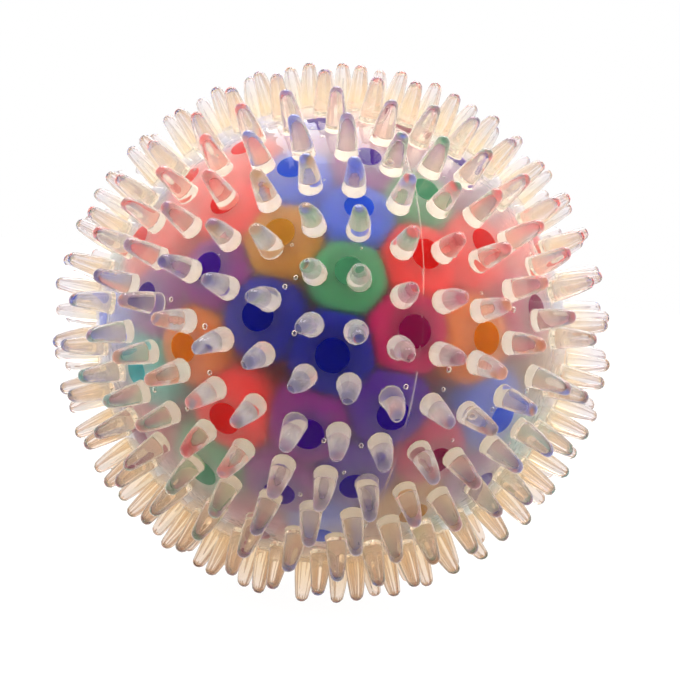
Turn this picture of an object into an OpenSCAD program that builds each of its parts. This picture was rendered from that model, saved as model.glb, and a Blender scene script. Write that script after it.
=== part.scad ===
// Clear, soft ball with moulded spikes all over it, filled with round coloured beads.
// The origin is the middle of the ball. The two mould halves parted along X, so the
// moulding ridge runs round the ball in the YZ plane. +Z is up, and the plug that closes
// the filling hole is at the bottom, at -Z. The front of the ball faces -Y.
// The soft ball sags under its own weight: its upper and lower halves are parts of two
// equal spheres, whose centres lie a little below and above the middle.

/* [Ball] */
// Diameter of the sphere that each half of the ball is cut from
ball_d = 76.8; // [72:0.2:84]
// Thickness of the ball's wall
wall = 1.8; // [1.4:0.1:2.4]
// How much the soft ball sags at its top, and again at its bottom
sag = 1.6; // [0.6:0.1:2.4]
// Height of the moulding ridge above the ball
ridge_h = 0.15; // [0.1:0.05:0.4]
// Width of the moulding ridge
ridge_w = 0.4; // [0.2:0.05:0.8]

/* [Spikes] */
// Height of a spike above the ball
spike_h = 7.1; // [4:0.05:9]
// Diameter of a spike where it leaves the ball
spike_d = 3.7; // [2.6:0.1:4.1]
// Diameter of a spike's round tip
spike_tip_d = 2.1; // [1:0.1:2.4]
// Depth of a spike's foot inside the wall
spike_foot = 0.6; // [0.3:0.1:1]
// Bare ball left between the plug and the nearest spikes
plug_margin = 1.2; // [0.4:0.1:3]

/* [Beads] */
// Diameter of the largest beads, as a share of the ball's diameter
bead_share = 0.1276; // [0.11:0.0004:0.132]
// Diameter of the patch that a bead presses flat on the wall, as a share of the bead's
patch_share = 0.48; // [0.3:0.01:0.55]
// Smallest gap between two beads
bead_gap = 0.4; // [0.3:0.05:0.8]
// Gap between the rim of a bead's flat patch and the wall
wall_gap = 0.3; // [0.2:0.05:0.5]
// How far a finger presses a bead in
press = 1; // [0.4:0.1:1.4]

/* [Plug] */
// Diameter of the filling hole
hole_d = 5; // [4:0.1:6]
// Diameter of the plug's outer head
head_d = 9; // [7.6:0.1:10]
// Thickness of the plug's outer head
head_t = 0.9; // [0.6:0.1:1.1]
// Diameter of the plug's inner flange
flange_d = 7; // [6.4:0.1:8]
// Thickness of the plug's inner flange
flange_t = 1; // [0.6:0.1:1.4]
// Diameter of the thick ring round the filling hole, inside the ball
boss_d = 11; // [9:0.1:13]
// Height of the thick ring above the wall's inner face
boss_h = 1.4; // [0.8:0.1:1.8]
// Clearance round the plug, which the bond fills
plug_fit = 0.03; // [0.02:0.01:0.06]

/* [Hidden] */
// Smoothness of round shapes
$fn = 48;

// Overrun of cuts past the faces that they cut
cut = 1;

// Radii of the wall's two faces, each about the centre of its own half
outer_r = ball_d / 2;
inner_r = outer_r - wall;

// Diameter of the largest beads
bead_d = bead_share * ball_d;

// Spikes stand on rings round the X axis, at even steps of latitude from the ridge.
// Count of spikes on each ring from the ridge to the pole, and the turn of its first
// spike about the X axis, in degrees from +Y towards +Z.
ring_step = 9.5;
left_counts = [33, 31, 30, 26, 24, 20, 16, 11, 5];
left_turns = [4, 2, -4.5, 4, 2, -2, 14.5, 27, 22.5];
right_counts = [32, 31, 28, 24, 24, 20, 16, 11, 5];
right_turns = [-1, 6, -5, 3, 6.5, 4, 0, 10, 20];

// How far the ball at a spike's tip stands out round the end of its cone
tip_proud = 0.02;

// The view of the photograph: its direction, its roll, its distance in ball radii, and
// the middle and the radius of the ball in it, in picture points.
view_az = -109.4;
view_el = 3;
view_roll = 6.9;
view_share = 6.88;
ball_x_px = 331;
ball_y_px = 330;
ball_r_px = 233;

// The front beads: where each one's flat patch shows, in picture points, and its colour.
front = [
    [350, 266, "green"], [332, 354, "navy"], [255, 312, "navy"], [276, 226, "gold"],
    [417, 329, "magenta"], [395, 415, "indigo"], [306, 436, "purple"], [220, 419, "red"],
    [203, 262, "purple"], [360, 198, "blue"], [430, 180, "green"], [430, 248, "red"],
    [490, 237, "red"], [490, 336, "orange"], [179, 345, "orange"], [219, 194, "red"],
    [239, 137, "red"], [183, 170, "red"], [290, 156, "blue"], [134, 236, "red"],
    [142, 294, "purple"], [103, 313, "blue"], [132, 369, "teal"], [134, 434, "magenta"],
    [317, 112, "purple"], [410, 118, "magenta"], [369, 145, "purple"], [462, 150, "purple"],
    [543, 243, "red"], [540, 308, "magenta"], [506, 417, "blue"], [441, 463, "magenta"],
    [484, 486, "purple"], [416, 518, "gold"], [531, 456, "teal"], [460, 527, "green"],
    [196, 475, "green"], [178, 512, "gold"], [276, 498, "purple"], [356, 491, "indigo"],
    [253, 538, "magenta"], [319, 542, "blue"]
];

// Colours of the beads
palette = [
    ["red", [0.9, 0.08, 0.06]], ["orange", [0.92, 0.45, 0.03]], ["gold", [0.75, 0.52, 0.1]],
    ["green", [0.1, 0.5, 0.25]], ["teal", [0.05, 0.48, 0.5]], ["blue", [0.03, 0.25, 0.75]],
    ["navy", [0.05, 0.05, 0.5]], ["indigo", [0.2, 0.03, 0.6]], ["purple", [0.36, 0.06, 0.5]],
    ["magenta", [0.6, 0.02, 0.28]]
];
clear_colour = [0.93, 0.9, 0.84, 0.35];

// The unseen beads of the outer layer fill a spiral of this many places
spiral_places = 120;
// Beads of an inner layer for each square of its radius, in bead diameters
layer_fill = 10;
golden_turn = 180 * (3 - sqrt(5));

function unit(v) = v / norm(v);
function mixed(p, a, b, c) = p.x * a + p.y * b + p.z * c;

// Centre of the half that direction v points into, and the wall's normal along v
function half_centre(v) = [0, 0, v.z < 0 ? sag : -sag];
function reach(v, r) = let (s = sag * abs(v.z)) sqrt(s * s + r * r - sag * sag) - s;
function normal(v, r) = unit(reach(v, r) * v - half_centre(v));

// Direction at a latitude from the ridge and a turn about the X axis
function ring_dir(lat, turn) = [sin(lat), cos(lat) * cos(turn), cos(lat) * sin(turn)];

// Spiral of n even places on a unit sphere
function spiral(n) = [for (i = [0:n - 1])
    let (z = 1 - (2 * i + 1) / n, q = sqrt(1 - z * z))
    [q * cos(i * golden_turn), q * sin(i * golden_turn), z]];

// Direction from the middle of the ball to a point of the photograph
view_to = [cos(view_el) * cos(view_az), cos(view_el) * sin(view_az), sin(view_el)];
level = [-sin(view_az), cos(view_az), 0];
rise = cross(view_to, level);
view_right = cos(view_roll) * level + sin(view_roll) * rise;
view_up = cos(view_roll) * rise - sin(view_roll) * level;
px_per_slope = ball_r_px * sqrt(view_share * view_share - 1);
function photo_dir(m) = let (
    w = unit([(m[0] - ball_x_px) / px_per_slope, (ball_y_px - m[1]) / px_per_slope, -1]),
    b = view_share * w.z,
    t = -b - sqrt(max(0, b * b - view_share * view_share + 1))
) unit(mixed([0, 0, view_share] + t * w, view_right, view_up, view_to));

// Height of a tip's ball along its spike, from the centre of the half that carries it
tip_z = outer_r + spike_h - spike_tip_d / 2;

// Plug: heights of its faces along Z, and the bare patch round it
out_z = sag - outer_r;
boss_z = sag - inner_r + boss_h;
bare_angle = asin((head_d / 2 + plug_margin + spike_d / 2) / outer_r);

// Directions of all spikes
function ring(side, counts, turns) = [for (k = [0:len(counts) - 1], i = [0:counts[k] - 1])
    ring_dir(side * (k + 0.5) * ring_step, turns[k] + i * 360 / counts[k])];
spikes = [for (v = concat(ring(-1, left_counts, left_turns), ring(1, right_counts, right_turns)))
    if (acos(-v.z) > bare_angle) v];

// Beads of the outer layer: distances of the flat patch and of the middle of a bead of
// radius r from the centre of its half. The patch's rim keeps the gap to the wall.
function patch_r(r) = patch_share * r;
function patch_z(r) = sqrt(pow(inner_r - wall_gap, 2) - pow(patch_r(r), 2));
function layer_r(r) = patch_z(r) - sqrt(r * r - pow(patch_r(r), 2));
function outer_pos(v, r) = half_centre(v) + layer_r(r) * normal(v, inner_r);

big_r = bead_d / 2;
front_dirs = [for (m = front) photo_dir(m)];
front_spots = [for (v = front_dirs) outer_pos(v, big_r)];
plug_clear = asin((flange_d / 2 + big_r + bead_gap) / layer_r(big_r));
back_dirs = [for (v = spiral(spiral_places))
    let (p = outer_pos(v, big_r))
    if (acos(-v.z) > plug_clear)
    if (min([for (q = front_spots) norm(p - q)]) > bead_d - bead_gap) v];
back_spots = [for (v = back_dirs) outer_pos(v, big_r)];

// Beads of the inner layers, and the one that lies on the plug
middle_r = layer_r(big_r) - sag - press - bead_gap - bead_d;
deep_r = middle_r - bead_d;
function layer_count(r) = floor(layer_fill * pow(r / bead_d, 2));
middle_spots = middle_r * spiral(layer_count(middle_r));
deep_spots = deep_r * spiral(layer_count(deep_r));
plug_spot = [0, 0, boss_z + flange_t + bead_gap + big_r];
inner_spots = concat(middle_spots, [plug_spot], deep_spots, [[0, 0, 0]]);

// Radius of a bead: full size, or what its nearest neighbour leaves
spots = concat(front_spots, back_spots, inner_spots);
function fit_r(p) = min(big_r, (min([for (q = spots) if (q != p) norm(p - q)]) - bead_gap) / 2);

function colour_of(name) = [for (c = palette) if (c[0] == name) c[1]][0];
function two_digits(i) = str(i < 10 ? "0" : "", i);
function front_name(i) = str("bead_", two_digits(i + 1), "_", front[i][2]);
function back_name(k) = str("back_beads_", palette[k][0]);
layer_names = ["middle_beads", "deep_beads", "centre_bead"];
layer_spots = [concat(middle_spots, [plug_spot]), deep_spots, [[0, 0, 0]]];

// Stands its children on the ball where direction v meets it, with +Z outwards
module on_ball(v, r) {
    n = normal(v, r);
    translate(half_centre(v)) rotate([0, acos(n.z), atan2(n.y, n.x)]) children();
}

// Both sagged halves of a ball
module sagged(r) {
    intersection() {
        translate([0, 0, sag]) sphere(r = r);
        translate([0, 0, -sag]) sphere(r = r);
    }
}

// A spike is a cone with a ball at its tip
module spike_cone() {
    foot_z = outer_r - spike_foot;
    translate([0, 0, foot_z]) cylinder(h = tip_z - foot_z, d1 = spike_d, d2 = spike_tip_d - tip_proud);
}

module spike_tip() {
    translate([0, 0, tip_z]) sphere(d = spike_tip_d);
}

// Thin ridge where the two mould halves met
module ridge() {
    rotate([0, 90, 0]) translate([0, 0, -ridge_w / 2]) linear_extrude(ridge_w) difference() {
        intersection() {
            translate([sag, 0]) circle(r = outer_r + ridge_h);
            translate([-sag, 0]) circle(r = outer_r + ridge_h);
        }
        circle(r = inner_r);
    }
}

module shell() {
    color(clear_colour) union() {
        difference() {
            union() {
                difference() {
                    sagged(outer_r);
                    sagged(inner_r);
                }
                ridge();
                translate([0, 0, boss_z - boss_h - wall / 2])
                    cylinder(h = boss_h + wall / 2, d = boss_d);
            }
            translate([0, 0, out_z - cut]) cylinder(h = cut + boss_z - out_z + cut, d = hole_d);
            translate([0, 0, out_z - cut]) cylinder(h = cut + head_t, d = head_d);
        }
        for (v = spikes) on_ball(v, outer_r) spike_cone();
        for (v = spikes) on_ball(v, outer_r) spike_tip();
    }
}

// Bonded plug: a flat head in its seat, a stem through the hole and a flange inside
module fill_plug() {
    color(clear_colour) union() {
        translate([0, 0, out_z]) cylinder(h = head_t - plug_fit, d = head_d - 2 * plug_fit);
        translate([0, 0, out_z]) cylinder(h = boss_z + plug_fit - out_z, d = hole_d - 2 * plug_fit);
        translate([0, 0, boss_z + plug_fit]) cylinder(h = flange_t, d1 = flange_d, d2 = hole_d);
    }
}

// A bead that is pressed flat on the wall
module pressed_bead(v, r) {
    on_ball(v, inner_r) difference() {
        translate([0, 0, layer_r(r)]) sphere(r = r);
        translate([0, 0, patch_z(r)]) cylinder(h = r, r = r);
    }
}

module front_bead(i) {
    color(colour_of(front[i][2])) pressed_bead(front_dirs[i], fit_r(front_spots[i]));
}

// Every back bead of colour k: the colours follow each other along the spiral
module back_beads(k) {
    n = len(palette);
    color(palette[k][1]) for (i = [0:len(back_dirs) - 1]) if (i % n == k)
        pressed_bead(back_dirs[i], fit_r(back_spots[i]));
}

// The round beads of an inner layer
module inner_beads(k) {
    color(palette[k][1]) for (p = layer_spots[k]) translate(p) sphere(r = fit_r(p));
}

shell();
fill_plug();
for (i = [0:len(front) - 1]) front_bead(i);
for (k = [0:len(palette) - 1]) back_beads(k);
for (k = [0:len(layer_names) - 1]) inner_beads(k);
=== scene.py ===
"""Looks of a clear, soft, spiked ball that is filled with coloured gel beads."""

import math

import bpy
import numpy as np
from mathutils import Matrix


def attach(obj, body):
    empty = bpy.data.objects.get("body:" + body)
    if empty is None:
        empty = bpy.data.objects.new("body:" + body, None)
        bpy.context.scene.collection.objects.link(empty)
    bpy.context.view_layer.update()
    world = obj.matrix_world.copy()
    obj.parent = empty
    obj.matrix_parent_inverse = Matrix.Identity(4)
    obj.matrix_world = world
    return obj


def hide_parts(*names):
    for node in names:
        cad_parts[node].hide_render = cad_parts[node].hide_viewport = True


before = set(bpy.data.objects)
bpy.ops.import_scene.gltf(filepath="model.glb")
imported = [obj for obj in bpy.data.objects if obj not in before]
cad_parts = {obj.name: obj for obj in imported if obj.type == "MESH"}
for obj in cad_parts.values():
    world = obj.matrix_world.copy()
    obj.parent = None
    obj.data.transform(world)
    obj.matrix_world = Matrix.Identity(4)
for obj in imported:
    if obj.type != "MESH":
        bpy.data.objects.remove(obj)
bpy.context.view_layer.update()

MM = 0.001
TAU = 2 * math.pi

# The ball: radii of its two wall faces, how far its halves sag, and the moulding ridge
OUTER_R = 38.4
WALL_INNER_R = 36.42
SAG = 1.6
RIDGE_H = 0.2
RIDGE_HALF = 0.24
# The ridge's height along its length: its mean, then share, waves in a turn and shift of each
RIDGE_MEAN = 0.6
RIDGE_WAVES = [(0.25, 23, 0.0), (0.15, 57, 1.3)]
# Half of the width of the pale line on the ridge
PALE_HALF = 0.06

# The wall's grids: columns round X and step in degrees of the outer and the inner face
OUTER_GRID = (216, 1.7)
INNER_GRID = (144, 2.5)
# The outer grid's latitudes at the ridge
RIDGE_LATS = [-0.42, -0.3, -0.2, -0.1, 0, 0.1, 0.2, 0.3, 0.42]

# Turns about X, in degrees, between which the ridge's pale line shows
LINE_TURNS = [(-60, 166), (183, 194), (220, 228), (250, 275)]

# The spikes stand on rings round X, in the counts and turns of the two mould halves
RING_STEP = 9.5
LEFT_COUNTS = [33, 31, 30, 26, 24, 20, 16, 11, 5]
LEFT_TURNS = [4, 2, -4.5, 4, 2, -2, 14.5, 27, 22.5]
RIGHT_COUNTS = [32, 31, 28, 24, 24, 20, 16, 11, 5]
RIGHT_TURNS = [-1, 6, -5, 3, 6.5, 4, 0, 10, 20]
SPIKE_H = 7.05
SPIKE_FOOT = 0.5
SPIKE_R = 1.85
SIDE_R = 1.76
TIP_R = 1.1
SPIKE_SIDES = 12
# The flare's height, the steps up a spike's side, and the power by which the side leans in
FLARE_H = 0.2
SIDE_SHARES = (0.35, 0.65, 0.85, 1.0)
SIDE_POWER = 1.6
# How far the tips bend aside: a unit, the spread of its random multiple and the most of it
SPIKE_BEND = 0.5
BEND_SPREAD = 0.7
BEND_MOST = 1.8
# The most by which a spike is shorter than the others, as a share
SHORTEN = 0.02
# How far the tips of the spikes that face the viewer lean right and up in the picture, and
# how fast that fades round the ball
FRONT_LEAN = (-0.75, -0.7)
LEAN_POWER = 3

# Air bubbles beside the spikes: share of spikes that have one, and the ranges of how far it
# lies from the spike's axis, how deep in the wall, and of its radius
BUBBLE_SHARE = 0.45
BUBBLE_OFF = (2.35, 2.9)
BUBBLE_DEEP = (0.7, 1.1)
BUBBLE_R = (0.16, 0.5)
BUBBLE_RINGS = [30, 65, 115, 150]
BUBBLE_SIDES = 8

# The filling hole at the bottom: radii of the hole, the seat and the ring round it inside,
# and heights of the seat's floor and the ring's top
HOLE_R = 2.5
SEAT_R = 4.5
RING_R = 5.5
SEAT_Z = -35.9
RING_Z = -33.6

# Bare ball left round the plug, as an angle from the bottom
PLUG_MARGIN = 1.2
BARE_ANGLE = math.degrees(math.asin((SEAT_R + PLUG_MARGIN + SPIKE_R) / OUTER_R))

# The beads: radius of the face that they press on the wall, gap between squashed beads
PRESS_R = 36.45
BEAD_R = 4.9
PATCH_R = 2.35
CELL_GAP = 0.04
# Share by which a free bead bulges, and the angle past its patch at which it does so fully
BULGE = 0.36
BULGE_ANGLE = 55
# How sharply the flat faces meet: a higher power is sharper
CELL_POWER = 34
# Beads this many radii apart or less can touch
REACH_RADII = 2.9
# How fast a bead's surface leaves the wall at least, in millimetres for each degree
WALL_LEAVE = 0.004

# The moulded elastomer: how it bends light, its sheen, the waves of its tint and its dents
# for each metre, the dents' strength and depth in metres, and how fast it turns milky when
# it is seen edge on
WALL_IOR = 1.49
WARM_SHEEN = (1.0, 0.95, 0.9, 1)
TINT_SCALE = 160
DENT_SCALE = 420
DENT_STRENGTH = 0.12
DENT_DEPTH = 0.0004
SLANT_BLEND = 0.7

# Tints of a spike, and the shares of light that pass straight through it, at foot and tip
FOOT_TINT = (0.98, 0.88, 0.7, 1)
TIP_TINT = (0.84, 0.8, 0.82, 1)
FOOT_CLEAR = 0.8
TIP_CLEAR = 0.98

# Painted shade on the lowest spikes: a warmer, darker tint, which fades out at the height of the
# middle
PAINTED_LOW_SHADE = (0.95, 0.84, 0.7, 1)

# Strength of the room's light on matt things, which makes up for what the wall keeps back
BEAD_LIGHT = 2.7

# The floor: its height, half its width, the tint of the light that it throws back, and how
# white and how plain it shows
FLOOR_Z = -43.6
FLOOR_HALF = 3000
FLOOR_TINT = (0.7, 0.6, 0.52, 1)
FLOOR_GLOW = 1.07
FLOOR_SHARE = 0.9

# The lamp: its place in metres and its width
LAMP_PLACE = np.array([0.15, 0.35, 0.8])
LAMP_SIZE = 0.7
LAMP_WATTS = 8

# Camera: direction, roll and distance, and where the ball's middle shows in the picture
VIEW_AZ = -109.4
VIEW_EL = 3.0
VIEW_ROLL = 6.9
VIEW_DISTANCE = 0.26
LENS = 83.94
SHIFT_X = 8.5 / 680
SHIFT_Y = -7.5 / 680


def unit(v):
    """Each vector divided by its own length."""
    v = np.asarray(v, float)
    return v / np.linalg.norm(v, axis=-1, keepdims=True)


def linear(rgb):
    """Picture colour, 0 to 255, as linear light: the fourth entry is full cover."""
    c = np.asarray(rgb, float) / 255
    low, high = c / 12.92, ((c + 0.055) / 1.055) ** 2.4
    return tuple(np.where(c <= 0.04045, low, high)) + (1.0,)


def half_centres(d):
    """Centre of the half that each direction points into: on Z, by the sag, on the far side."""
    out = np.zeros_like(d)
    out[..., 2] = np.where(d[..., 2] < 0, SAG, -SAG)
    return out


def sagged(d, r):
    """Distance from the middle to the sagged ball along d: the root of the quadratic for a
    sphere of radius r whose centre lies on the far side by the sag."""
    s = SAG * np.abs(d[..., 2])
    return np.sqrt(s * s + r * r - SAG * SAG) - s


def ball_normals(d, r):
    """Wall normals along d: from the half's centre to the point on the wall."""
    return unit(sagged(d, r)[..., None] * d - half_centres(d))


def new_piece(name, verts, faces, body, slot, materials, smooth=True):
    """Makes a mesh object from positions in millimetres and faces, riding on a body."""
    mesh = bpy.data.meshes.new(name)
    mesh.from_pydata((np.asarray(verts) * MM).tolist(), [], faces)
    mesh.polygons.foreach_set("use_smooth", np.full(len(mesh.polygons), smooth))
    for m in materials:
        mesh.materials.append(m)
    mesh.update()
    obj = bpy.data.objects.new(name, mesh)
    bpy.context.scene.collection.objects.link(obj)
    if body:
        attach(obj, body)
    return obj


def closed_grid(rows, cols):
    """Faces of a closed surface: a start pole, then rows of cols points, then an end pole.
    The poles are fans and the rows are quads; vertex 0 and the last one are the poles."""
    first = np.arange(cols)
    nxt = (first + 1) % cols
    last = 1 + rows * cols
    faces = [list(f) for f in zip([0] * cols, 1 + first, 1 + nxt)]
    a = (1 + np.arange(rows - 1)[:, None] * cols + first).ravel()
    b = (1 + np.arange(rows - 1)[:, None] * cols + nxt).ravel()
    faces += np.stack([a, a + cols, b + cols, b], axis=1).tolist()
    top = 1 + (rows - 1) * cols
    faces += [list(f) for f in zip([last] * cols, top + nxt, top + first)]
    return faces


def frames_on(n):
    """Two unit vectors square to each unit vector n and to each other."""
    ref = np.where(np.abs(n[:, :1]) > 0.9, [[0.0, 1.0, 0.0]], [[1.0, 0.0, 0.0]])
    u = unit(np.cross(ref, n))
    return u, np.cross(n, u)


def view_axes():
    """The direction to the camera, and the picture's right and up, rolled as it was."""
    az, el, roll = (math.radians(a) for a in (VIEW_AZ, VIEW_EL, VIEW_ROLL))
    to = np.array([math.cos(el) * math.cos(az), math.cos(el) * math.sin(az), math.sin(el)])
    level = np.array([-math.sin(az), math.cos(az), 0])
    rise = np.cross(to, level)
    return (to, math.cos(roll) * level + math.sin(roll) * rise,
            math.cos(roll) * rise - math.sin(roll) * level)


# ---- spikes ----
def spike_directions():
    """Directions of the spikes: ring k of a half lies at latitude (k + 0.5) steps from the
    ridge, and its spikes follow at even turns about X from the ring's first turn."""
    out = []
    for side, counts, turns in ((-1, LEFT_COUNTS, LEFT_TURNS), (1, RIGHT_COUNTS, RIGHT_TURNS)):
        for k, (count, turn) in enumerate(zip(counts, turns)):
            lat = math.radians(side * (k + 0.5) * RING_STEP)
            a = np.radians(turn + np.arange(count) * 360 / count)
            out.append(np.stack([np.full(count, math.sin(lat)), math.cos(lat) * np.cos(a),
                                 math.cos(lat) * np.sin(a)], axis=1))
    d = np.concatenate(out)
    return d[np.degrees(np.arccos(-d[:, 2])) > BARE_ANGLE]


def spike_profile():
    """Height above the wall and radius along a spike: a foot inside the wall, a small
    flare, a side that leans in by a power of the height, then a quarter circle."""
    cone_h = SPIKE_H - TIP_R
    h = [-SPIKE_FOOT, 0.0, FLARE_H]
    r = [SPIKE_R + 0.05, SPIKE_R, SIDE_R]
    for share in SIDE_SHARES:
        h.append(share * cone_h)
        r.append(SIDE_R + (TIP_R - SIDE_R) * share ** SIDE_POWER)
    for a in (30, 60):
        h.append(cone_h + TIP_R * math.sin(math.radians(a)))
        r.append(TIP_R * math.cos(math.radians(a)))
    return np.array(h), np.array(r)


def spike_surfaces(d, rng):
    """All spikes as closed surfaces: the profile turned about a path that leaves the wall
    along its normal and bends aside by the square of the height."""
    n = ball_normals(d, OUTER_R)
    foot = half_centres(d) + OUTER_R * n
    u, v = frames_on(n)
    h, r = spike_profile()
    angle = rng.uniform(0, TAU, len(d))
    bend = SPIKE_BEND * rng.rayleigh(BEND_SPREAD, len(d)).clip(0, BEND_MOST)
    aside = (np.cos(angle)[:, None] * u + np.sin(angle)[:, None] * v) * bend[:, None]
    to, right, up = view_axes()
    lean = FRONT_LEAN[0] * right + FRONT_LEAN[1] * up
    facing = np.clip(n @ to, 0, 1)[:, None] ** LEAN_POWER
    aside = aside + facing * (lean - (n @ lean)[:, None] * n)
    stretch = 1 - rng.uniform(0, SHORTEN, len(d))
    t = np.arange(SPIKE_SIDES) * TAU / SPIKE_SIDES
    hh = h[None, :] * np.where(h > 0, stretch[:, None], 1.0)
    share = np.clip(hh, 0, None) / SPIKE_H
    path = (foot[:, None, :] + hh[..., None] * n[:, None, :]
            + (share ** 2)[..., None] * aside[:, None, :])
    ring = np.cos(t)[None, :, None] * u[:, None, :] + np.sin(t)[None, :, None] * v[:, None, :]
    body = path[:, :, None, :] + r[None, :, None, None] * ring[:, None, :, :]
    start = path[:, :1, :]
    tip_h = SPIKE_H * stretch
    tip = (foot + tip_h[:, None] * n + aside * (tip_h[:, None] / SPIKE_H) ** 2)[:, None, :]
    verts = np.concatenate([start, body.reshape(len(d), -1, 3), tip], axis=1)
    per = verts.shape[1]
    one = closed_grid(len(h), SPIKE_SIDES)
    faces = [[i + k * per for i in f[::-1]] for k in range(len(d)) for f in one]
    return verts.reshape(-1, 3), faces


# ---- wall ----
def wall_grid(r, cols, lats, ridge, flip):
    """One face of the wall on a grid: latitude from the ridge by turn about X, at the
    sagged ball's distance, plus the moulding ridge as a smooth bump across X = 0."""
    lat = np.radians(lats)[:, None]
    turn = (np.arange(cols) * TAU / cols)[None, :]
    d = np.stack([np.sin(lat) * np.ones_like(turn), np.cos(lat) * np.cos(turn),
                  np.cos(lat) * np.sin(turn)], axis=-1)
    reach = sagged(d, r)
    if ridge:
        x = reach * d[..., 0]
        wave = sum((a * np.sin(turn * k + b) for a, k, b in RIDGE_WAVES), RIDGE_MEAN)
        reach = reach + RIDGE_H * wave * np.clip(1 - (x / RIDGE_HALF) ** 2, 0, 1) ** 2
    ends = np.array([[-1.0, 0, 0], [1.0, 0, 0]])
    ends = ends * sagged(ends, r)[:, None]
    verts = np.concatenate([ends[:1], (reach[..., None] * d).reshape(-1, 3), ends[1:]])
    faces = closed_grid(len(lats), cols)
    if flip:
        faces = [f[::-1] for f in faces]
    return verts, faces


def latitudes(step, fine):
    """Latitudes in even steps from one pole to the other, with finer ones at the ridge."""
    base = np.arange(-90 + step, 90 - step / 2, step)
    near = np.array(RIDGE_LATS if fine else [0.0])
    return np.sort(np.concatenate([base[np.abs(base) > 0.6], near]))


def joined(parts):
    """Vertices and faces of several surfaces as one list each."""
    verts, faces, base = [], [], 0
    for v, f in parts:
        verts.append(v)
        faces += [[i + base for i in face] for face in f]
        base += len(v)
    return np.concatenate(verts), faces


def bubble_surfaces(d, rng):
    """Small air bubbles in the wall beside the spikes' feet: little balls turned inside
    out, so that the light bends as it does in air."""
    n = ball_normals(d, OUTER_R)
    u, v = frames_on(n)
    pick = rng.random(len(d)) < BUBBLE_SHARE
    n, u, v, base = n[pick], u[pick], v[pick], half_centres(d)[pick]
    a = rng.uniform(0, TAU, len(n))[:, None]
    off = rng.uniform(*BUBBLE_OFF, len(n))[:, None]
    deep = rng.uniform(*BUBBLE_DEEP, len(n))[:, None]
    size = rng.uniform(*BUBBLE_R, len(n))
    centre = base + (OUTER_R - deep) * n + off * (np.cos(a) * u + np.sin(a) * v)
    t = np.arange(BUBBLE_SIDES) * TAU / BUBBLE_SIDES
    p = np.radians(BUBBLE_RINGS)
    shape = np.concatenate([[[0, 0, 1]], np.stack([
        (np.sin(p)[:, None] * np.cos(t)).ravel(), (np.sin(p)[:, None] * np.sin(t)).ravel(),
        (np.cos(p)[:, None] * np.ones(BUBBLE_SIDES)).ravel()], axis=1), [[0, 0, -1]]])
    verts = centre[:, None, :] + size[:, None, None] * shape[None]
    per = len(shape)
    one = closed_grid(len(BUBBLE_RINGS), BUBBLE_SIDES)
    return verts.reshape(-1, 3), [[i + k * per for i in f] for k in range(len(n)) for f in one]


def turned(rows, cols=48):
    """A closed surface turned about Z from rows of radius and height, from the lowest up."""
    r, z = np.array(rows).T
    t = np.arange(cols) * TAU / cols
    ring = np.stack([r[:, None] * np.cos(t), r[:, None] * np.sin(t), z[:, None] + 0 * t], axis=-1)
    ends = np.array([[0, 0, z[0]], [0, 0, z[-1]]])
    verts = np.concatenate([ends[:1], ring.reshape(-1, 3), ends[1:]])
    return verts, [f[::-1] for f in closed_grid(len(r), cols)]


# Kinds of face of the clear shell, and the material index of each
OUTSIDE, INSIDE, SPIKE, BUBBLE, PLUG_SEAT = range(5)
MATERIAL_OF = np.array([0, 1, 2, 0, 0], np.int32)
# Most that a face of the outer wall stands off the ball
OFF_WALL = 0.22


def face_classes(mesh):
    """The kind of each face, told by where its middle lies: how far from the centre of its
    half, and how far from the Z axis, and by how squarely it faces outwards."""
    co = np.empty(len(mesh.polygons) * 3)
    mesh.polygons.foreach_get("center", co)
    co = co.reshape(-1, 3) / MM
    nor = np.empty(len(mesh.polygons) * 3)
    mesh.polygons.foreach_get("normal", nor)
    nor = nor.reshape(-1, 3)
    hub = half_centres(co)
    out_n = unit(co - hub)
    away = np.linalg.norm(co - hub, axis=1)
    facing = np.einsum("ij,ij->i", out_n, nor)
    near = np.abs(away - OUTER_R) < OFF_WALL
    kind = np.full(len(co), SPIKE)
    kind[(away < OUTER_R + OFF_WALL) & (facing > 0.9)] = OUTSIDE
    kind[near & (np.abs(co[:, 0]) < RIDGE_HALF * 1.1) & (facing > 0.3)] = OUTSIDE
    turn = np.degrees(np.arctan2(co[:, 2], co[:, 1]))
    lined = np.zeros(len(co), bool)
    for start, end in LINE_TURNS:
        lined |= (turn - start) % 360 < end - start
    kind[(kind == OUTSIDE) & lined & (np.abs(co[:, 0]) < PALE_HALF)] = SPIKE
    kind[(away < OUTER_R - 0.1)] = BUBBLE
    kind[(away < WALL_INNER_R + 0.08)] = INSIDE
    from_axis = np.hypot(co[:, 0], co[:, 1])
    low = (from_axis < RING_R + 0.02) & (co[:, 2] < RING_Z + 0.1)
    kind[low & (np.abs(away - OUTER_R) > 0.05)] = PLUG_SEAT
    return kind


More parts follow.
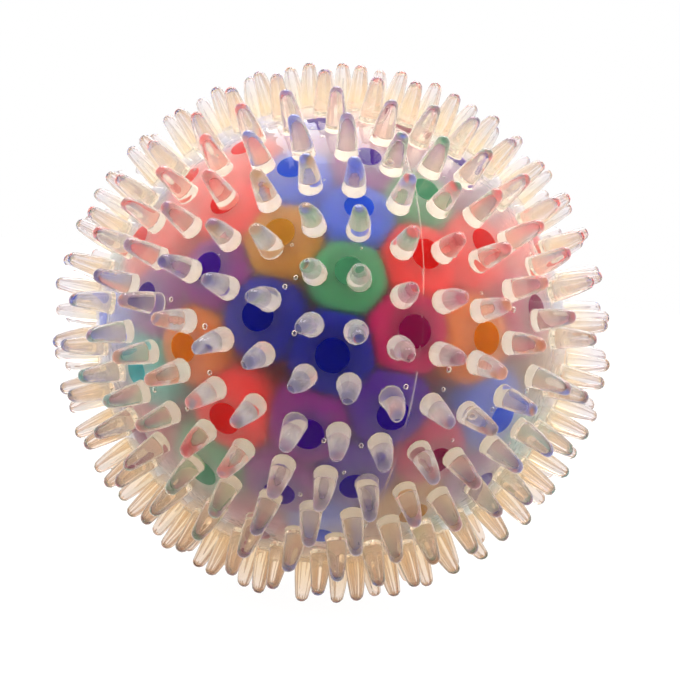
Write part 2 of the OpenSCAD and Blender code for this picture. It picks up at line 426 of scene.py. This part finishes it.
def set_normals(mesh, kind):
    """Normals of each corner: the mean over the faces of its own kind that meet there, and
    on the plain wall the true normal of the sagged ball."""
    loops = len(mesh.loops)
    vert = np.empty(loops, np.int32)
    mesh.loops.foreach_get("vertex_index", vert)
    count = np.empty(len(mesh.polygons), np.int32)
    mesh.polygons.foreach_get("loop_total", count)
    area = np.empty(len(mesh.polygons))
    mesh.polygons.foreach_get("area", area)
    nor = np.empty(len(mesh.polygons) * 3)
    mesh.polygons.foreach_get("normal", nor)
    nor = nor.reshape(-1, 3)
    co = np.empty(len(mesh.vertices) * 3)
    mesh.vertices.foreach_get("co", co)
    co = co.reshape(-1, 3) / MM
    loop_kind = np.repeat(kind, count)
    weighted = np.repeat(nor * area[:, None], count, axis=0)
    total = np.zeros((len(MATERIAL_OF) * len(co), 3))
    key = loop_kind * len(co) + vert
    np.add.at(total, key, weighted)
    out = total[key] / np.maximum(np.linalg.norm(total[key], axis=1, keepdims=True), 1e-12)
    p = co[vert]
    true = unit(p - half_centres(p))
    plain = (loop_kind == OUTSIDE) & (np.abs(p[:, 0]) > RIDGE_HALF * 1.2)
    out[plain] = true[plain]
    inner = loop_kind == INSIDE
    out[inner] = -true[inner]
    flat = loop_kind == PLUG_SEAT
    out[flat] = np.repeat(nor, count, axis=0)[flat]
    mesh.normals_split_custom_set(out.tolist())


def clear_shell(materials, rng):
    """The wall's two faces, all spikes and the ring for the plug as one closed solid, less
    the plug's seat and hole, with bubbles in the wall."""
    cols, step = OUTER_GRID
    outer = wall_grid(OUTER_R, cols, latitudes(step, True), True, True)
    cols, step = INNER_GRID
    inner = wall_grid(WALL_INNER_R, cols, latitudes(step, False), False, False)
    d = spike_directions()
    wall = new_piece("clear_shell", *joined([outer, inner]), "shell", "clear_shell", materials)
    ring = turned([(RING_R, SEAT_Z), (RING_R, RING_Z)])
    added = new_piece("to_add", *joined([spike_surfaces(d, rng), ring]), None, None, [])
    hole = turned([(SEAT_R, -OUTER_R), (SEAT_R, SEAT_Z), (HOLE_R, SEAT_Z), (HOLE_R, RING_Z + 1)])
    removed = new_piece("to_remove", *hole, None, None, [])
    for operation, tool in (("UNION", added), ("DIFFERENCE", removed)):
        change = wall.modifiers.new(operation, "BOOLEAN")
        change.operation = operation
        change.solver = "MANIFOLD"
        change.object = tool
    graph = bpy.context.evaluated_depsgraph_get()
    mesh = bpy.data.meshes.new_from_object(wall.evaluated_get(graph))
    wall.modifiers.clear()
    bubbles = bubble_surfaces(d, rng)
    old = wall.data
    wall.data = with_bubbles(mesh, bubbles, materials)
    bpy.data.objects.remove(added)
    bpy.data.objects.remove(removed)
    bpy.data.meshes.remove(old)
    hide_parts("shell")
    return wall


def with_bubbles(mesh, bubbles, materials):
    """A mesh of the joined solid and the bubbles, with its materials and its normals."""
    co = np.empty(len(mesh.vertices) * 3)
    mesh.vertices.foreach_get("co", co)
    verts = np.concatenate([co.reshape(-1, 3), bubbles[0] * MM])
    base = len(mesh.vertices)
    faces = [list(p.vertices) for p in mesh.polygons]
    faces += [[i + base for i in f[::-1]] for f in bubbles[1]]
    out = bpy.data.meshes.new("clear_shell")
    out.from_pydata(verts.tolist(), [], faces)
    for m in materials:
        out.materials.append(m)
    out.update()
    kind = face_classes(out)
    kind[len(mesh.polygons):] = BUBBLE
    out.polygons.foreach_set("material_index", MATERIAL_OF[kind])
    out.polygons.foreach_set("use_smooth", np.full(len(out.polygons), True))
    set_normals(out, kind)
    bpy.data.meshes.remove(mesh)
    return out


# ---- beads ----
def solids_of(node):
    """Centre and radius of each bead of a CAD node: its loose triangles are merged by
    place, labels spread along them to the lowest, and a ball is fitted to each label's
    points by least squares."""
    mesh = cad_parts[node].data
    co = np.empty(len(mesh.vertices) * 3)
    mesh.vertices.foreach_get("co", co)
    co = co.reshape(-1, 3) / MM
    tri = np.array([list(p.vertices)[:3] for p in mesh.polygons])
    points, same = np.unique(np.round(co, 3), axis=0, return_inverse=True)
    tri = same.ravel()[tri]
    label = np.arange(len(points))
    while True:
        low = label[tri].min(axis=1)
        new = label.copy()
        for k in range(3):
            np.minimum.at(new, tri[:, k], low)
        new = new[new]
        if (new == label).all():
            break
        label = new
    beads = []
    for one in np.unique(label[tri.ravel()]):
        p = points[label == one]
        a = np.concatenate([2 * p, np.ones((len(p), 1))], axis=1)
        fit = np.linalg.lstsq(a, (p ** 2).sum(axis=1), rcond=None)[0]
        c = fit[:3]
        beads.append((c, math.sqrt(fit[3] + c @ c)))
    return beads


def squashed_bead(c, r, others, radii, rings, cols):
    """A bead that its neighbours press: along each direction from its centre it reaches to
    the nearest of the flat faces halfway to its neighbours, blended softly, and of a ball
    that bulges away from the wall; its cap lies on the wall's inner face."""
    hub = half_centres(c[None])[0]
    n = unit(c - hub)
    u, v = frames_on(n[None])
    edge = math.degrees(math.asin(PATCH_R / BEAD_R))
    polar = np.radians(np.where(np.asarray(rings) < 0, edge, rings))[:, None]
    t = (np.arange(cols) * TAU / cols)[None, :]
    d = (np.cos(polar)[..., None] * n + (np.sin(polar) * np.cos(t))[..., None] * u[0]
         + (np.sin(polar) * np.sin(t))[..., None] * v[0]).reshape(-1, 3)
    d = np.concatenate([n[None], d, -n[None]])
    angle = np.degrees(np.arccos(np.clip(d @ n, -1, 1)))
    swell = np.clip((angle - edge) / BULGE_ANGLE, 0, 1)
    free = r * (1 + BULGE * swell * swell * (3 - 2 * swell))
    gap = others - c
    far = np.linalg.norm(gap, axis=1)
    near = (far > 0.5) & (far < REACH_RADII * BEAD_R)
    gap, far, rad = gap[near], far[near], radii[near]
    plane = (far ** 2 + r * r - rad ** 2) / (2 * far) - CELL_GAP
    along = np.maximum(d @ (gap / far[:, None]).T, 1e-3)
    blend = free ** -CELL_POWER + ((plane / along) ** -CELL_POWER).sum(axis=1)
    reach = blend ** (-1 / CELL_POWER)
    b = d @ (c - hub)
    wall = -b + np.sqrt(b * b - ((c - hub) @ (c - hub) - PRESS_R ** 2))
    below = wall - WALL_LEAVE * (angle - edge)
    reach = np.where(angle <= edge + 0.01, wall, np.minimum(reach, below))
    return c + reach[:, None] * d, closed_grid(len(rings), cols)


# Angles from the wall's normal at which the rings of a bead lie: -1 is the patch's edge
FRONT_RINGS = [10, 20, 27.4, -1, 30, 34, 40, 47, 55, 63, 71, 79, 87, 95, 104, 115, 128, 143, 160]
BACK_RINGS = [14, 26.5, -1, 31, 39, 50, 62, 74, 86, 99, 115, 135, 157]
FRONT_COLS = 44
BACK_COLS = 26


def bead_pieces(gel):
    """Every bead of the outer layer as a squashed bead: one piece for each front node, and
    one for each group of back beads, so each piece rides and is named as its node."""
    front = sorted(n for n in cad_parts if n.startswith("bead_"))
    back = sorted(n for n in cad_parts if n.startswith("back_beads_"))
    found = {n: solids_of(n) for n in front + back + ["middle_beads"]}
    every = [b for beads in found.values() for b in beads]
    centres = np.array([b[0] for b in every])
    radii = np.array([b[1] for b in every])
    for name in front + back:
        rings, cols = (FRONT_RINGS, FRONT_COLS) if name in front else (BACK_RINGS, BACK_COLS)
        parts = [squashed_bead(c, r, centres, radii, rings, cols) for c, r in found[name]]
        colour = name.rsplit("_", 1)[1]
        body = "_".join(name.split("_")[:2]) if name in front else "bead_mass"
        piece = new_piece("gel_" + name, *joined(parts), body, "bead_" + colour, [gel[colour]])
        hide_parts(name)


# ---- finishes ----
def node_material(name):
    """A new node material, with its tree and its Principled shader."""
    m = bpy.data.materials.new(name)
    m.use_nodes = True
    tree = m.node_tree
    shader = next(n for n in tree.nodes if n.type == "BSDF_PRINCIPLED")
    return m, tree, shader


def feed(tree, socket, value):
    """Gives a socket a fixed value, where it is a tuple, or else a link."""
    if isinstance(value, tuple):
        socket.default_value = value
    else:
        tree.links.new(value, socket)


def noise(tree, scale, detail=3.0):
    """Noise on Object coordinates: the scale is in waves per metre."""
    place = tree.nodes.new("ShaderNodeTexCoord")
    n = tree.nodes.new("ShaderNodeTexNoise")
    n.inputs["Scale"].default_value = scale
    n.inputs["Detail"].default_value = detail
    tree.links.new(place.outputs["Object"], n.inputs["Vector"])
    return n.outputs["Fac"]


def ramp(tree, fac, low, high, at=(0.3, 0.7)):
    """A colour that runs from low to high as fac runs between the two places."""
    r = tree.nodes.new("ShaderNodeValToRGB")
    tree.links.new(fac, r.inputs["Fac"])
    for k, (c, p) in enumerate(zip((low, high), at)):
        r.color_ramp.elements[k].color = c
        r.color_ramp.elements[k].position = p
    return r.outputs["Color"]


def between(tree, value, start, end, low=0.0, high=1.0):
    """A number that runs from low to high as value runs from start to end."""
    r = tree.nodes.new("ShaderNodeMapRange")
    tree.links.new(value, r.inputs["Value"])
    for name, x in (("From Min", start), ("From Max", end), ("To Min", low), ("To Max", high)):
        r.inputs[name].default_value = x
    return r.outputs[0]


def mixed(tree, share, first, second, blend="MIX"):
    """Two colours mixed by a share."""
    n = tree.nodes.new("ShaderNodeMix")
    n.data_type = "RGBA"
    n.blend_type = blend
    tree.links.new(share, n.inputs[0])
    for socket, colour in zip([i for i in n.inputs if i.type == "RGBA"], (first, second)):
        feed(tree, socket, colour)
    return next(o for o in n.outputs if o.type == "RGBA")


def vector_math(tree, operation, *values):
    """The result of one step of vector arithmetic."""
    n = tree.nodes.new("ShaderNodeVectorMath")
    n.operation = operation
    for socket, value in zip(n.inputs, values):
        feed(tree, socket, value)
    return n.outputs["Value" if operation == "LENGTH" else "Vector"]


def bump(tree, shader, height, strength, distance):
    """Small dents of the surface, as deep as distance times strength."""
    b = tree.nodes.new("ShaderNodeBump")
    b.inputs["Strength"].default_value = strength
    b.inputs["Distance"].default_value = distance
    tree.links.new(height, b.inputs["Height"])
    tree.links.new(b.outputs["Normal"], shader.inputs["Normal"])


def moulded(name, roughness, sheen):
    """A material of moulded elastomer, with its fine dents and its warm sheen."""
    m, tree, s = node_material(name)
    s.inputs["Roughness"].default_value = roughness
    s.inputs["IOR"].default_value = WALL_IOR
    s.inputs["Sheen Weight"].default_value = sheen
    s.inputs["Sheen Roughness"].default_value = 0.45
    s.inputs["Sheen Tint"].default_value = WARM_SHEEN
    bump(tree, s, noise(tree, DENT_SCALE, 2.0), DENT_STRENGTH, DENT_DEPTH)
    return m, tree, s


def clear_finish(name, low, high, clear, roughness, mirror, sheen, slant=None):
    """Clear moulded elastomer: its tint wanders from low to high, clear is the share of
    light that passes straight, which falls to slant where the face is seen edge on, and
    mirror dims the reflections seen head on."""
    m, tree, s = moulded(name, roughness, sheen)
    s.inputs["Transmission Weight"].default_value = clear
    s.inputs["Specular Tint"].default_value = (mirror, mirror, mirror, 1)
    tree.links.new(ramp(tree, noise(tree, TINT_SCALE), low, high), s.inputs["Base Color"])
    if slant:
        facing = tree.nodes.new("ShaderNodeLayerWeight")
        facing.inputs["Blend"].default_value = SLANT_BLEND
        share = between(tree, facing.outputs["Facing"], 0, 1, clear, slant)
        tree.links.new(share, s.inputs["Transmission Weight"])
    return m


def spike_finish():
    """The spikes' elastomer: cream and milky at the foot, cool and clear at the tip, by the
    distance from the ball's middle, and with painted shade, warmer and darker, by the depth below
    its middle."""
    m, tree, s = moulded("clear_spikes", 0.05, 0.4)
    place = tree.nodes.new("ShaderNodeTexCoord").outputs["Object"]
    away = vector_math(tree, "LENGTH", place)
    foot, tip = (OUTER_R - SAG / 2) * MM, (OUTER_R + SPIKE_H - SAG) * MM
    tint = ramp(tree, between(tree, away, foot, tip), FOOT_TINT, TIP_TINT, (0.1, 0.9))
    split = tree.nodes.new("ShaderNodeSeparateXYZ")
    tree.links.new(place, split.inputs[0])
    # Painted shade: the spikes turn warmer and darker from the middle's height down to the bottom
    low = between(tree, split.outputs["Z"], 0, -OUTER_R * MM)
    tree.links.new(mixed(tree, low, tint, PAINTED_LOW_SHADE, "MULTIPLY"), s.inputs["Base Color"])
    clear = between(tree, away, foot, tip, FOOT_CLEAR, TIP_CLEAR)
    tree.links.new(clear, s.inputs["Transmission Weight"])
    return m


GEL_COLOURS = {
    "red": (208, 20, 18), "orange": (200, 104, 2), "gold": (176, 120, 36), "green": (66, 136, 98),
    "teal": (40, 160, 168), "blue": (34, 78, 206), "navy": (2, 8, 128), "indigo": (38, 2, 140),
    "purple": (56, 2, 134), "magenta": (128, 2, 66),
}

# Painted light: the same gels, lighter, where light comes through their rounded edges
LIT_EDGE_COLOURS = {
    "red": (246, 28, 32), "orange": (216, 116, 6), "gold": (190, 134, 40),
    "green": (72, 158, 110), "teal": (52, 188, 180), "blue": (44, 94, 226),
    "navy": (16, 24, 156), "indigo": (76, 2, 160), "purple": (134, 2, 140),
    "magenta": (190, 4, 96),
}
# How far below the wall's inner face the cap's colour ends and the painted edge light is full
CAP_DEPTH = 0.05
EDGE_DEPTH = 0.9
# The gel: waves of its colour for each metre, the shares that the colour runs between, and
# how it bends light
GEL_SCALE = 260
GEL_LOW = 0.86
GEL_HIGH = 1.08
GEL_IOR = 1.34


def depth_below_wall(tree):
    """1 on the wall's inner face and 0 from EDGE_DEPTH below it on, by the distance from
    the centre of the half: the place, moved up or down by the sag as its height is above
    or below zero."""
    place = tree.nodes.new("ShaderNodeTexCoord").outputs["Object"]
    side = vector_math(tree, "SIGN", place)
    from_hub = vector_math(tree, "MULTIPLY_ADD", side, (0, 0, SAG * MM), place)
    away = vector_math(tree, "LENGTH", from_hub)
    return between(tree, away, (PRESS_R - EDGE_DEPTH) * MM, (PRESS_R - CAP_DEPTH) * MM)


def shaded(rgb, share):
    """A picture colour as linear light, times a share and held to 1."""
    return tuple(np.minimum(np.array(linear(rgb)) * [share, share, share, 1], 1))


def gel_finish(name, rgb, edge):
    """Wet gel that is coloured through, a little uneven in depth of colour, and with painted
    light, lighter, where it curves away from the wall."""
    m, tree, s = node_material("gel_" + name)
    cap = ramp(tree, noise(tree, GEL_SCALE), shaded(rgb, GEL_LOW), shaded(rgb, GEL_HIGH))
    # Painted light: the lighter edge colour takes over below the wall's inner face, where the gel
    # curves away
    tint = mixed(tree, depth_below_wall(tree), linear(edge), cap)
    tree.links.new(tint, s.inputs["Base Color"])
    s.inputs["Roughness"].default_value = 0.4
    s.inputs["IOR"].default_value = GEL_IOR
    s.inputs["Specular IOR Level"].default_value = 0.05
    s.inputs["Subsurface Weight"].default_value = 0.8
    s.inputs["Subsurface Radius"].default_value = (1.0, 1.0, 1.0)
    s.inputs["Subsurface Scale"].default_value = 0.004
    return m


# ---- surroundings ----
# The kinds of ray to which the surroundings show as white
SEES_WHITE = ["Is Camera Ray", "Is Glossy Ray", "Is Transmission Ray"]
# The room's light from straight below to straight above
ROOM_STOPS = [(0.0, (0.5, 0.36, 0.3, 1)), (0.3, (0.72, 0.62, 0.55, 1)), (0.46, (1, 1, 1, 1)),
              (0.62, (1, 1, 1, 1)), (1.0, (0.86, 0.86, 0.9, 1))]


def any_ray(tree, kinds):
    """1 for a ray of any of these kinds and 0 for others: the largest of their outputs."""
    path = tree.nodes.new("ShaderNodeLightPath")
    out = path.outputs[kinds[0]]
    for k in kinds[1:]:
        top = tree.nodes.new("ShaderNodeMath")
        top.operation = "MAXIMUM"
        tree.links.new(out, top.inputs[0])
        tree.links.new(path.outputs[k], top.inputs[1])
        out = top.outputs[0]
    return out


def white_room():
    """A white room: plain white behind the ball, warmer and dimmer light from below."""
    world = bpy.data.worlds.new("white_room")
    bpy.context.scene.world = world
    world.use_nodes = True
    tree = world.node_tree
    tree.nodes.clear()
    out = tree.nodes.new("ShaderNodeOutputWorld")
    place = tree.nodes.new("ShaderNodeTexCoord")
    split = tree.nodes.new("ShaderNodeSeparateXYZ")
    tree.links.new(place.outputs["Generated"], split.inputs[0])
    sky = tree.nodes.new("ShaderNodeValToRGB")
    ramp_stops = sky.color_ramp.elements
    while len(ramp_stops) < len(ROOM_STOPS):
        ramp_stops.new(0.5)
    for e, (p, c) in zip(ramp_stops, ROOM_STOPS):
        e.position, e.color = p, c
    tree.links.new(between(tree, split.outputs["Z"], -1, 1), sky.inputs["Fac"])
    room = tree.nodes.new("ShaderNodeBackground")
    tree.links.new(sky.outputs["Color"], room.inputs["Color"])
    path = tree.nodes.new("ShaderNodeLightPath")
    lift = between(tree, path.outputs["Diffuse Depth"], 0, 1, 1.0, BEAD_LIGHT)
    white = tree.nodes.new("ShaderNodeBackground")
    white.inputs["Color"].default_value = (1, 1, 1, 1)
    for light in (room, white):
        tree.links.new(lift, light.inputs["Strength"])
    pick = tree.nodes.new("ShaderNodeMixShader")
    tree.links.new(any_ray(tree, SEES_WHITE), pick.inputs[0])
    tree.links.new(room.outputs[0], pick.inputs[1])
    tree.links.new(white.outputs[0], pick.inputs[2])
    tree.links.new(pick.outputs[0], out.inputs["Surface"])


def pale_floor():
    """A wide, plain, pale floor that shows as white and keeps a faint shadow."""
    m, tree, shader = node_material("pale_floor")
    shader.inputs["Base Color"].default_value = FLOOR_TINT
    shader.inputs["Roughness"].default_value = 0.9
    glow = tree.nodes.new("ShaderNodeEmission")
    glow.inputs["Color"].default_value = (1, 1, 1, 1)
    glow.inputs["Strength"].default_value = FLOOR_GLOW
    mix = tree.nodes.new("ShaderNodeMixShader")
    share = tree.nodes.new("ShaderNodeMath")
    share.operation = "MULTIPLY"
    share.inputs[1].default_value = FLOOR_SHARE
    tree.links.new(any_ray(tree, SEES_WHITE), share.inputs[0])
    tree.links.new(share.outputs[0], mix.inputs[0])
    tree.links.new(shader.outputs[0], mix.inputs[1])
    tree.links.new(glow.outputs[0], mix.inputs[2])
    end = next(n for n in tree.nodes if n.type == "OUTPUT_MATERIAL")
    tree.links.new(mix.outputs[0], end.inputs["Surface"])
    s, z = FLOOR_HALF, FLOOR_Z
    corners = [[-s, -s, z], [s, -s, z], [s, s, z], [-s, s, z]]
    floor = new_piece("pale_floor", corners, [[0, 1, 2, 3]], None, None, [m], smooth=False)


def placed(x, y, z, place):
    """A matrix whose columns are three axes and a place."""
    return Matrix(np.vstack([np.column_stack([x, y, z, place]), [0, 0, 0, 1]]).tolist())


def soft_lamp(name, place, size, watts):
    """A square lamp at a place in metres, facing the middle of the ball."""
    data = bpy.data.lights.new(name, "AREA")
    data.size = size
    data.energy = watts
    lamp = bpy.data.objects.new(name, data)
    bpy.context.scene.collection.objects.link(lamp)
    back = unit(place)
    side = unit(np.cross([0, 0, 1.0], back))
    up = np.cross(back, side)
    lamp.matrix_world = placed(side, up, back, place)


def camera():
    """The camera at the photograph's direction and distance, rolled as it was."""
    to, right, up = view_axes()
    data = bpy.data.cameras.new("camera")
    data.lens = LENS
    data.sensor_width = 36
    data.shift_x = SHIFT_X
    data.shift_y = SHIFT_Y
    data.clip_start = 0.01
    cam = bpy.data.objects.new("camera", data)
    bpy.context.scene.collection.objects.link(cam)
    cam.matrix_world = placed(right, up, to, to * VIEW_DISTANCE)
    bpy.context.scene.camera = cam


rng = np.random.default_rng(7)
outside = clear_finish("clear_wall", (0.93, 0.86, 0.79, 1), (0.98, 0.94, 0.89, 1),
                       clear=1.0, roughness=0.03, mirror=0.05, sheen=0.2)
inside = clear_finish("matt_inner_face", (0.94, 0.87, 0.8, 1), (0.99, 0.94, 0.89, 1),
                      clear=0.992, roughness=0.52, mirror=0.1, sheen=0.0, slant=0.62)
spiky = spike_finish()
gel = {k: gel_finish(k, c, LIT_EDGE_COLOURS[k]) for k, c in GEL_COLOURS.items()}
clear_shell([outside, inside, spiky], rng)
bead_pieces(gel)
kept_nodes = {"middle_beads": gel["red"], "deep_beads": gel["orange"],
              "centre_bead": gel["gold"], "fill_plug": outside}
for node, finish in kept_nodes.items():
    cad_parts[node].data.materials.clear()
    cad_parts[node].data.materials.append(finish)

white_room()
pale_floor()
soft_lamp("key", LAMP_PLACE, LAMP_SIZE, LAMP_WATTS)
camera()

scene = bpy.context.scene
scene.view_settings.view_transform = "Standard"
# Enough bounces for light that passes several clear spikes, the wall and a bead
scene.cycles.max_bounces = 24
scene.cycles.transmission_bounces = 24
scene.cycles.diffuse_bounces = 4
scene.cycles.glossy_bounces = 8
